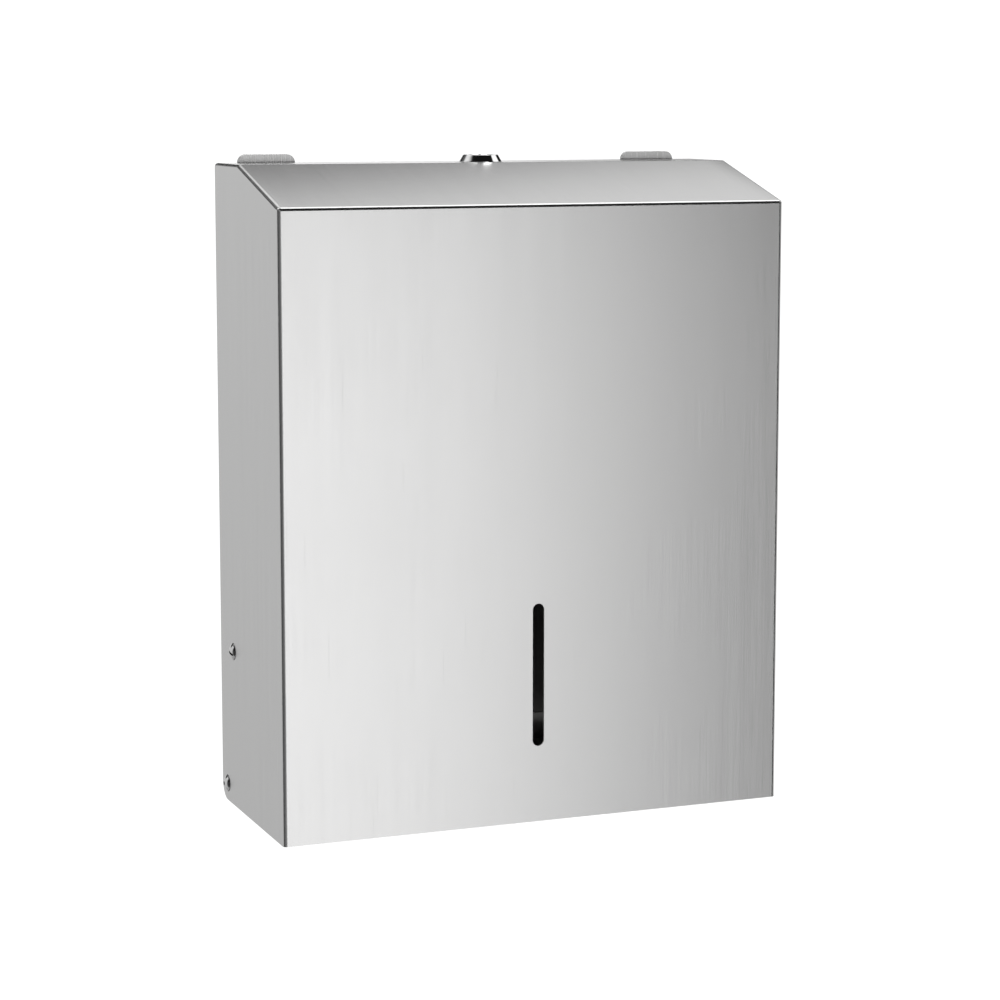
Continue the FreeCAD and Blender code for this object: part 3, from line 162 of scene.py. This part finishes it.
def brushed_sheet(name, level, roughness, anisotropic, grain=1.0, inner_below=1.0, bow=0.0):
    """Brushed stainless sheet. The brushing runs up the front, on over the sloping top, and up the sides."""
    material, g, shader, place, normal = start(name)
    x, y, z = g.split(place)
    nx, ny, nz = g.split(normal)
    side = g.step(g.math("ABSOLUTE", nx), 0.68, 0.74)
    # 1 on the faces that look into the shell, which keep the mill's duller finish and are painted darker as shade
    # inside the shell
    outward = g.vector("DOT_PRODUCT", normal, g.vector("SUBTRACT", place, (0.0, -0.055, 0.0)))
    inside = g.mul(g.step(outward, 0.002, -0.002), g.step(z, inner_below, inner_below - 0.002))
    across = g.blend(side, x, y)                       # metres across the brushing
    along = g.sub(z, g.mul(y, g.sub(1.0, side)))       # metres along it
    seed = g.add(g.mul(side, 3.7), g.mul(g.step(nz, 0.4, 0.7), 1.9))

    fine = g.noise(g.join(g.mul(across, 5200.0), g.mul(along, 34.0), seed), 1.0, 3.0, 0.65)
    lines = g.noise(g.join(g.mul(across, 1500.0), g.mul(along, 9.0), g.add(seed, 5.0)), 1.0, 4.0, 0.6)
    bands = g.noise(g.join(g.mul(across, 150.0), g.mul(along, 2.2), g.add(seed, 9.0)), 1.0, 3.0, 0.55)
    cloud = g.noise(place, 9.0, 3.0, 0.5)

    # single deeper scratches of the belt, sparse and long
    deep = g.step(g.noise(g.join(g.mul(across, 2300.0), g.mul(along, 14.0), g.add(seed, 13.0)), 1.0, 1.0, 0.4), 0.70, 0.80)

    shade = g.add(
        level,
        g.mul(g.sub(fine, 0.5), 0.110 * grain),
        g.mul(g.sub(lines, 0.5), 0.100 * grain),
        g.mul(g.sub(bands, 0.5), 0.040),
        g.mul(g.sub(cloud, 0.5), 0.030),
        g.mul(deep, -0.045 * grain),
    )
    # the front of what stands up past the top flange is duller, from hands and from wiping
    handled = g.mul(g.step(z, 0.1662, 0.1667), g.step(ny, -0.3, -0.6))
    tint = g.noise(place, 6.0, 2.0, 0.5)
    mottle = g.noise(place, 700.0, 3.0, 0.6)
    # the inside's grey is the mill's duller finish, set extra low as painted shade for the dark inside of the shell
    mill_grey_and_painted_shade = g.add(0.22, g.mul(g.sub(mottle, 0.5), 0.08), g.mul(g.sub(lines, 0.5), 0.05), g.mul(g.sub(cloud, 0.5), 0.06))
    bright = g.mix(g.mul(tint, 0.35), grey(g, shade), grey(g, shade, 0.012))
    g.put(shader.inputs["Base Color"], g.mix(inside, bright, grey(g, mill_grey_and_painted_shade, 0.02)))

    rough = g.add(
        g.mul(inside, 0.18),
        roughness,
        g.mul(g.sub(fine, 0.5), 0.09),
        g.mul(g.sub(lines, 0.5), 0.07),
        g.mul(g.sub(bands, 0.5), 0.03),
        g.mul(g.sub(cloud, 0.5), 0.03),
    )
    g.put(shader.inputs["Roughness"], rough)

    height = g.add(g.mul(fine, 0.6), g.mul(lines, 1.0), g.mul(deep, -1.2))
    if bow:
        # the sloping top is bowed up a degree or two, as thin sheet is, and rolls over a little before its side folds
        slope = g.mul(g.step(nz, 0.90, 0.95), g.step(ny, -0.15, -0.24))
        lean = g.mul(g.line(y, -0.1090, -0.0417, -bow, bow), slope)
        roll = g.mul(g.step(g.math("ABSOLUTE", x), 0.1190, 0.1345), g.math("SIGN", x), slope, 0.070)
        turned_to = g.node("ShaderNodeVectorTransform", vector_type="VECTOR", convert_from="OBJECT", convert_to="WORLD")
        g.put(turned_to.inputs[0], g.join(roll, g.mul(lean, 0.962), g.mul(lean, 0.272)))
        still = g.node("ShaderNodeNewGeometry").outputs["Normal"]
        bowed = g.vector("NORMALIZE", g.vector("ADD", still, turned_to.outputs[0]))
        g.put(shader.inputs["Normal"], g.bump(height, 0.10 * grain, 0.00003, bowed))
    else:
        g.put(shader.inputs["Normal"], g.bump(height, 0.10 * grain, 0.00003))

    # the sheen spreads across the brushing: sideways on front and top, front to back on the sides
    here = g.node("ShaderNodeVectorTransform", vector_type="VECTOR", convert_from="OBJECT", convert_to="WORLD")
    g.put(here.inputs[0], g.join(g.sub(1.0, side), side, 0.0))
    g.put(shader.inputs["Tangent"], here.outputs[0])
    g.put(shader.inputs["Metallic"], g.add(1.0, g.mul(inside, -0.46), g.mul(handled, -0.40)))
    shader.inputs["Anisotropic"].default_value = anisotropic
    return material


def mill_sheet(name):
    """Cold-rolled sheet as it comes from the mill: duller, faint rolling lines, dull rings where spot welds sit."""
    material, g, shader, place, normal = start(name)
    x, y, z = g.split(place)
    cloud = g.noise(place, 22.0, 4.0, 0.55)
    mottle = g.noise(place, 900.0, 3.0, 0.6)
    rolled = g.noise(g.join(g.mul(x, 60.0), g.mul(y, 60.0), g.mul(z, 2600.0)), 1.0, 3.0, 0.6)
    wiped = g.noise(g.join(g.mul(x, 30.0), g.mul(y, 30.0), g.mul(z, 30.0)), 1.0, 2.0, 0.5, 1.5)
    shade = g.add(0.42, g.mul(g.sub(cloud, 0.5), 0.09), g.mul(g.sub(mottle, 0.5), 0.07), g.mul(g.sub(rolled, 0.5), 0.07))

    # spot welds in the flanges of the side plates, 50 mm apart
    lane = g.math("ABSOLUTE", g.sub(g.math("ABSOLUTE", x), 0.1250))
    pitch = g.math("ABSOLUTE", g.sub(g.math("FRACT", g.add(g.math("DIVIDE", z, 0.05), 10.5)), 0.5))
    away = g.math("SQRT", g.add(g.mul(lane, lane), g.mul(g.mul(pitch, 0.05), g.mul(pitch, 0.05))))
    flat = g.step(g.math("ABSOLUTE", g.split(normal)[1]), 0.8, 0.95)
    ring = g.mul(g.step(away, 0.0016, 0.0022), g.step(away, 0.0034, 0.0027), flat)
    spot = g.mul(g.step(away, 0.0022, 0.0017), flat)
    shade = g.add(shade, g.mul(ring, -0.20), g.mul(spot, -0.07))
    cool = grey(g, shade)
    warm = grey(g, shade, 0.03)
    colour = g.mix(g.mul(cloud, 0.6), cool, warm)
    colour = g.mix(g.mul(ring, 0.7), colour, (0.36, 0.27, 0.17))
    g.put(shader.inputs["Base Color"], colour)
    g.put(shader.inputs["Roughness"], g.add(0.40, g.mul(g.sub(mottle, 0.5), 0.10), g.mul(g.sub(wiped, 0.5), 0.12), g.mul(spot, 0.08)))
    height = g.add(g.mul(mottle, 0.7), g.mul(rolled, 0.6), g.mul(spot, -1.5))
    g.put(shader.inputs["Normal"], g.bump(height, 0.18, 0.00003))
    shader.inputs["Metallic"].default_value = 0.72
    return material


def turned(name, level, roughness, axis, centre, pitch=0.00018, depth=0.12, warm=0.0, wear=0.0, dome=None):
    """A turned and polished metal: faint rings about its axis, soft stains, brighter worn high spots.

    dome gives a head's sphere, as the distance of its centre from the middle plane and its radius:
    what is cut into the head is dull and dark, with old dirt and with painted shade in the recess,
    and a thin painted shadow sits round the head's foot.
    """
    material, g, shader, place, normal = start(name)
    x, y, z = g.split(place)
    if axis == "x":
        a, b = g.sub(y, centre[1]), g.sub(z, centre[2])
    else:
        a, b = g.sub(x, centre[0]), g.sub(y, centre[1])
    radius = g.math("SQRT", g.add(g.mul(a, a), g.mul(b, b)))
    rings = g.noise(g.join(g.math("DIVIDE", radius, pitch), 0.3, 0.7), 1.0, 2.0, 0.6)
    stain = g.noise(place, 420.0, 3.0, 0.55)
    specks = g.noise(place, 2600.0, 2.0, 0.5)
    shade = g.add(level, g.mul(g.sub(rings, 0.5), 0.05), g.mul(g.sub(stain, 0.5), 0.08), g.mul(g.sub(specks, 0.5), 0.03))
    if wear:
        shade = g.add(shade, g.mul(g.step(stain, 0.50, 0.64), wear))
    rough = g.add(roughness, g.mul(g.sub(stain, 0.5), 0.10), g.mul(g.sub(rings, 0.5), 0.05))
    if dome:
        out = g.math("ABSOLUTE", x)
        up = g.sub(out, dome[0])
        reach = g.math("SQRT", g.add(g.mul(up, up), g.mul(radius, radius)))
        # what is cut into the head is painted nearly black: old dirt, and painted shade in the recess
        recess_dirt_and_shade = g.mul(g.step(reach, dome[1] - 0.00012, dome[1] - 0.00045), g.step(out, 0.13505, 0.13520))
        # a painted shadow ring round the head's foot, where it sits on the sheet
        painted_foot_shadow = g.mul(g.step(radius, 0.00415, 0.00445), 0.6)
        shade = g.mul(shade, g.sub(1.0, g.mul(recess_dirt_and_shade, 0.95)), g.sub(1.0, painted_foot_shadow))
        rough = g.add(rough, g.mul(recess_dirt_and_shade, 0.35))
    g.put(shader.inputs["Base Color"], grey(g, shade, warm))
    g.put(shader.inputs["Roughness"], rough)
    g.put(shader.inputs["Normal"], g.bump(g.add(rings, g.mul(specks, 0.4)), depth, 0.00002))
    shader.inputs["Metallic"].default_value = 1.0
    return material


def zinc(name):
    """Zinc-plated steel: a fine crystalline surface with a faint blue and straw passivation."""
    material, g, shader, place, normal = start(name)
    crystals = g.cells(place, 2400.0, "F1", "Color")
    grain = g.split(crystals)[0]
    cloud = g.noise(place, 160.0, 3.0, 0.55)
    fine = g.noise(place, 3800.0, 2.0, 0.5)
    shade = g.add(0.57, g.mul(g.sub(grain, 0.5), 0.07), g.mul(g.sub(cloud, 0.5), 0.12))
    blue = g.node("ShaderNodeCombineColor")
    g.put(blue.inputs[0], g.mul(shade, 0.97))
    g.put(blue.inputs[1], g.mul(shade, 1.0))
    g.put(blue.inputs[2], g.mul(shade, 1.05))
    g.put(shader.inputs["Base Color"], g.mix(g.step(cloud, 0.42, 0.62), blue.outputs[0], grey(g, shade, 0.05)))
    g.put(shader.inputs["Roughness"], g.add(0.34, g.mul(g.sub(grain, 0.5), 0.12), g.mul(g.sub(fine, 0.5), 0.10)))
    g.put(shader.inputs["Normal"], g.bump(g.add(grain, g.mul(fine, 0.6)), 0.15, 0.00002))
    shader.inputs["Metallic"].default_value = 1.0
    return material


def nylon(name):
    """Natural nylon: a milky off-white, faintly mottled, with a fine moulded texture."""
    material, g, shader, place, normal = start(name)
    flow = g.noise(place, 260.0, 3.0, 0.5, 0.8)
    fine = g.noise(place, 5200.0, 2.0, 0.6)
    g.put(shader.inputs["Base Color"], g.mix(flow, (0.86, 0.85, 0.80), (0.78, 0.76, 0.69)))
    g.put(shader.inputs["Roughness"], g.add(0.46, g.mul(g.sub(fine, 0.5), 0.16), g.mul(g.sub(flow, 0.5), 0.10)))
    g.put(shader.inputs["Normal"], g.bump(fine, 0.20, 0.00003))
    shader.inputs["Subsurface Weight"].default_value = 0.15
    shader.inputs["Subsurface Radius"].default_value = (0.002, 0.0017, 0.0012)
    shader.inputs["Specular IOR Level"].default_value = 0.45
    return material


COVER = brushed_sheet("cover_brushed_steel", 0.74, 0.24, 0.50, bow=0.028)
PLATE = brushed_sheet("plate_brushed_steel", 0.70, 0.26, 0.90, grain=0.35, inner_below=0.158)
INNER = mill_sheet("inner_mill_steel")
ZINC = zinc("zinc_plated_steel")
NYLON = nylon("natural_nylon")
HEAD_DOME = (0.13104, 0.00606)
PIN = turned("polished_pin_heads", 0.78, 0.14, "x", (0.0, -0.0095, -0.157), dome=HEAD_DOME)
SCREW = turned("polished_screw_heads", 0.78, 0.13, "x", (0.0, -0.02309, -0.08436), dome=HEAD_DOME)
CHROME = turned("lock_chrome_plate", 0.83, 0.05, "z", (0.0, -0.0285, 0.0), depth=0.05)
PLUG = turned("lock_plug_nickel", 0.69, 0.20, "z", (0.0, -0.0285, 0.0), warm=0.03, wear=0.05)

DRESS = {
    "front_cover": COVER,
    "back_plate": PLATE, "cheek_left": INNER, "cheek_right": INNER, "towel_tray": INNER,
    "hinge_bush_left": NYLON, "hinge_bush_right": NYLON, "stop_sleeve_left": NYLON, "stop_sleeve_right": NYLON,
    "hinge_pin_left": PIN, "hinge_pin_right": PIN,
    "stop_screw_left": SCREW, "stop_screw_right": SCREW,
    "hinge_pin_clips": ZINC, "stop_washers": ZINC, "stop_nuts": ZINC, "lock_washer": ZINC, "lock_strike": ZINC,
    "lock_stop_washer": ZINC, "lock_cam": ZINC, "cam_screw": ZINC,
    "lock_housing": CHROME, "lock_nut": CHROME,
    "lock_plug": PLUG, "lock_wafers": PLUG,
}
for node_name, material in DRESS.items():
    for slot in NODES[node_name].material_slots:
        slot.material = material


# ---------------------------------------------------------------- studio

def lamp(name, place, aim, width, height, watts, mirrored=True):
    data = bpy.data.lights.new(name, "AREA")
    data.shape = "RECTANGLE"
    data.size, data.size_y = width, height
    data.energy = watts
    made = bpy.data.objects.new(name, data)
    made.location = place
    made.rotation_mode = "QUATERNION"
    made.rotation_quaternion = (Vector(aim) - Vector(place)).to_track_quat("-Z", "Y")
    made.visible_glossy = mirrored
    bpy.context.scene.collection.objects.link(made)
    return made


def floor_disc(name, height, radius):
    """A round pale floor."""
    rings, turns = 24, 96
    points, faces = [(0.0, 0.0, height)], []
    for i in range(1, rings + 1):
        r = radius * i / rings
        for k in range(turns):
            a = 2 * math.pi * k / turns
            points.append((r * math.cos(a), r * math.sin(a), height))
    for k in range(turns):
        faces.append((0, 1 + k, 1 + (k + 1) % turns))
    for i in range(rings - 1):
        p, q = 1 + i * turns, 1 + (i + 1) * turns
        for k in range(turns):
            faces.append((p + k, q + k, q + (k + 1) % turns, p + (k + 1) % turns))
    mesh = bpy.data.meshes.new(name)
    mesh.from_pydata(points, [], faces)
    made = bpy.data.objects.new(name, mesh)
    bpy.context.scene.collection.objects.link(made)
    material, g, shader, place, normal = start(name + "_paint")
    cloud = g.noise(place, 0.8, 2.0, 0.5)
    fine = g.noise(place, 400.0, 2.0, 0.6)
    g.put(shader.inputs["Base Color"], grey(g, g.add(0.90, g.mul(g.sub(cloud, 0.5), 0.02))))
    g.put(shader.inputs["Roughness"], g.add(0.70, g.mul(g.sub(fine, 0.5), 0.10)))
    g.put(shader.inputs["Normal"], g.bump(fine, 0.05, 0.0002))
    mesh.materials.append(material)
    # the metal gets its light from below from the studio's own light, so that the dispenser's inside stays dark
    made.visible_glossy = False
    made.visible_diffuse = False
    return made


floor_disc("studio_floor", -1.25, 2.6)

world = bpy.data.worlds.new("studio_light")
bpy.context.scene.world = world
world.use_nodes = True
w = Graph(world.node_tree)
sky = w.node("ShaderNodeTexCoord").outputs["Generated"]
sx, sy, sz = w.split(sky)
turn = w.mul(w.math("ARCTAN2", sx, w.mul(sy, -1.0)), 180.0 / math.pi)      # degrees from -Y (0) towards +X (90)
rise = w.mul(w.math("ARCSINE", sz), 180.0 / math.pi)                       # degrees above the horizon
back = w.mul(w.math("ARCTAN2", sx, sy), 180.0 / math.pi)                   # degrees from +Y (0) towards +X (90)

above_ground = w.step(rise, -42.0, -30.0)
front_ground = w.step(rise, -31.0, -21.0)

# the main light, low in front and to the right of the lens, and a weaker spread to its left
front_low = w.mul(w.step(turn, -12.3, 29.4), w.step(turn, 25.1, 22.1), w.step(rise, 3.5, 0.5), front_ground)
front_fill = w.mul(w.step(turn, -34.0, -11.0), w.step(turn, 26.0, 12.0), w.step(rise, 8.0, -2.0), front_ground)
# pale surroundings behind the object, higher at the left rear, on round to the right as well
lower = w.step(rise, -12.0, -4.0)
left_rear_high = w.add(w.mul(w.step(back, -42.0, -52.0), 20.0), w.mul(w.step(back, 12.0, -2.0), 4.0))
behind = w.mul(
    w.add(
        w.line(back, -84.0, -72.0, 0.0, 0.62),
        w.mul(w.add(w.line(back, -16.0, 20.0, 0.0, 0.20), w.line(back, 34.0, 60.0, 0.0, -0.25)), lower),
        w.mul(w.line(back, 100.0, 122.0, 0.0, -1.0), w.sub(0.62, w.mul(lower, 0.05))),
    ),
    w.step(w.sub(rise, left_rear_high), 10.0, 4.0), above_ground, w.add(1.0, w.mul(w.math("MINIMUM", rise, 8.0), 0.006)))
# the dark left, lighter towards the ground
left = w.mul(w.step(turn, -122.0, -104.0), w.step(turn, -8.0, -20.0))
left_dim = w.mul(left, w.step(rise, 14.0, 4.0))
left_ground = w.mul(w.step(turn, -66.0, -52.0), w.step(turn, -10.0, -30.0), w.step(rise, -17.0, -28.0), w.step(rise, -84.0, -72.0))
left_low = w.mul(w.step(turn, -72.0, -58.0), w.step(turn, -20.0, -34.0), w.step(rise, -26.0, -18.0), w.step(rise, 9.0, 1.0))
left_high = w.mul(w.step(turn, -66.0, -54.0), w.step(turn, -6.0, -16.0), w.step(rise, 1.0, 8.0), w.step(rise, 46.0, 38.0))
# ceiling, lower on the right and higher in front, with a bank that comes down towards the left rear, one on the right, a patch behind and a softer spread there
overhead = w.step(w.add(rise, w.mul(w.step(sx, 0.27, 0.43), 12.0), w.mul(w.step(sy, -0.12, -0.32), -7.0)), 60.0, 74.0)
overhead = w.mul(overhead, w.step(sx, 0.14, 0.26))
under_ceiling = w.sub(1.0, overhead)
bank_edge = w.add(rise, w.mul(w.add(turn, 74.0), -0.4), -58.0)
left_bank = w.mul(w.step(bank_edge, -2.0, 4.0), w.step(turn, -66.0, -80.0), w.step(back, -34.0, -44.0), under_ceiling)
right_bank = w.mul(w.step(turn, 66.0, 76.0), w.step(turn, 118.0, 108.0), w.step(rise, 24.0, 29.0), under_ceiling)
rear_patch = w.mul(w.step(back, -14.0, -8.0), w.step(back, 17.0, 10.0), w.step(rise, 33.5, 37.5), w.step(rise, 60.0, 50.0))
behind_high = w.mul(
    w.step(sy, -0.1, 0.4), w.step(rise, 18.0, 27.0), w.step(back, 51.0, 40.0),
    w.add(0.11, w.mul(w.step(w.add(rise, w.mul(back, 1.11)), 45.8, 65.7), 0.706)))
right_front = w.mul(w.step(turn, 42.0, 52.0), w.step(turn, 80.0, 66.0), w.step(rise, 6.0, 12.0), w.step(rise, 40.0, 32.0))
rear_light = w.mul(w.step(back, 10.0, 15.0), w.step(back, 25.5, 19.5), w.step(rise, 2.0, 5.0), w.step(rise, 17.0, 11.0))
rear_ground = w.mul(w.step(back, -112.0, -100.0), w.step(back, 100.0, 80.0), w.step(rise, -84.0, -72.0), w.step(rise, -30.0, -42.0))
right_ground = w.mul(w.step(turn, 30.0, 42.0), w.step(turn, 110.0, 92.0), w.step(rise, -84.0, -72.0), w.step(rise, -22.0, -33.0))
front_floor = w.mul(w.step(turn, -30.0, -10.0), w.step(turn, 42.0, 30.0), w.step(rise, -84.0, -72.0), w.step(rise, -26.0, -37.0))
rear_gap = w.mul(w.step(back, -64.0, -52.0), w.step(back, 44.0, 36.0), w.step(rise, 4.0, 9.0), w.step(rise, 30.0, 22.0))
level = w.add(
    0.008,
    w.mul(front_low, 1.86),
    w.mul(front_fill, 0.19),
    w.math("MAXIMUM", behind, 0.0),
    w.mul(left_dim, 0.035),
    w.mul(left_ground, 0.55),
    w.mul(left_low, 0.09),
    w.mul(left_high, 0.30),
    w.mul(overhead, 2.3),
    w.mul(left_bank, 1.6),
    w.mul(right_bank, 1.2),
    w.mul(rear_patch, 0.9),
    behind_high,
    w.mul(rear_gap, 0.02),
    w.mul(right_front, 0.35),
    w.mul(rear_light, 0.90),
    w.mul(rear_ground, 0.35),
    w.mul(right_ground, 0.30),
    w.mul(front_floor, 0.30),
)
seen = w.node("ShaderNodeLightPath").outputs["Is Camera Ray"]
lit = w.node("ShaderNodeBackground")
w.put(lit.inputs["Color"], grey(w, level))
backdrop = w.node("ShaderNodeBackground")
backdrop.inputs["Color"].default_value = (1.0, 1.0, 1.0, 1.0)
backdrop.inputs["Strength"].default_value = 1.1
both = w.node("ShaderNodeMixShader")
w.put(both.inputs[0], seen)
w.tree.links.new(lit.outputs[0], both.inputs[1])
w.tree.links.new(backdrop.outputs[0], both.inputs[2])
w.tree.links.new(both.outputs[0], w.node("ShaderNodeOutputWorld").inputs["Surface"])

lamp("floor_wash", (0.0, -0.2, 2.6), (0.0, -0.2, -1.25), 3.2, 3.2, 260.0, mirrored=False)

bpy.context.scene.view_settings.view_transform = "Standard"
bpy.context.scene.view_settings.look = "None"
bpy.context.scene.view_settings.exposure = 0.0
bpy.context.scene.view_settings.gamma = 1.0


# ---------------------------------------------------------------- camera

def photo_camera(place, turn_deg, dip_deg, roll_deg, lens, shift_y):
    """The photograph's eye: turned right of +Y, dipped below the horizon, rolled a little."""
    t, d, r = (math.radians(v) for v in (turn_deg, dip_deg, roll_deg))
    level_ahead = Vector((math.sin(t), math.cos(t), 0.0))
    level_right = Vector((math.cos(t), -math.sin(t), 0.0))
    up0 = Vector((0.0, 0.0, 1.0))
    ahead = level_ahead * math.cos(d) - up0 * math.sin(d)
    up1 = up0 * math.cos(d) + level_ahead * math.sin(d)
    right = level_right * math.cos(r) + up1 * math.sin(r)
    up = up1 * math.cos(r) - level_right * math.sin(r)
    data = bpy.data.cameras.new("photo_camera")
    data.lens, data.sensor_width, data.sensor_fit = lens, 36.0, "AUTO"
    data.shift_y = shift_y
    data.dof.use_dof = False
    data.clip_start, data.clip_end = 0.02, 60.0
    made = bpy.data.objects.new("photo_camera", data)
    bpy.context.scene.collection.objects.link(made)
    made.matrix_world = Matrix.Translation(place) @ Matrix((right, up, -ahead)).transposed().to_4x4()
    bpy.context.scene.camera = made
    return made


photo_camera((-0.51618, -1.36094, 0.200), 21.5845, 7.5944, 0.0050, 98.315, -0.04)
